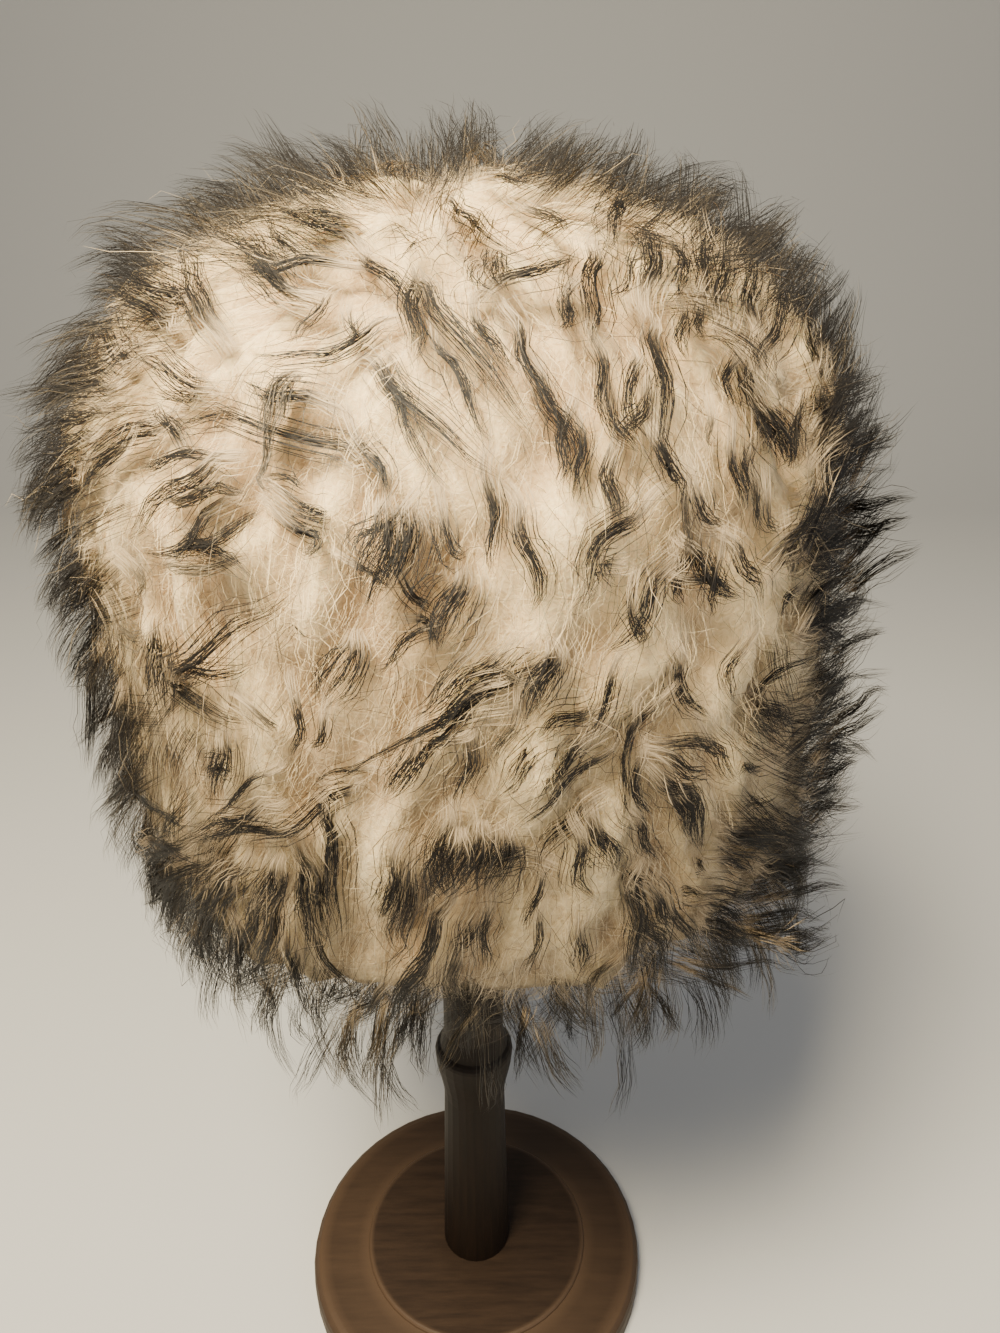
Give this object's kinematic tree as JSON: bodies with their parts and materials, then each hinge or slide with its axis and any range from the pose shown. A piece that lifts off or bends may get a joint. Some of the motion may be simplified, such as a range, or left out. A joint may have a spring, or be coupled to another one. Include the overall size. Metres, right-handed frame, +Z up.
{
  "type": "turkmen telpek hat on a turned wooden hat stand",
  "caption": "Round long-haired pelt hat, open below, resting on a turned wooden hat stand with a round foot, a collared post and a domed head.",
  "frame": {"origin": "centre of the underside of the stand's foot", "axes": "+Z up along the stand's post, -Y towards the hat's front, +X to the right as seen from the front"},
  "size_m": [0.3191, 0.3073, 0.5639],
  "materials": {
    "fur": "long matte hair, cream below and charcoal at the tips",
    "hide": "matte",
    "dark_wood": "satin stain"
  },
  "bodies": {
    "root": {"fur_coat": "fur", "hide_crown": "hide", "hide_side": "hide", "stand_dome": "dark_wood", "stand_foot": "dark_wood", "stand_post": "dark_wood"}
  },
  "joints": []
}
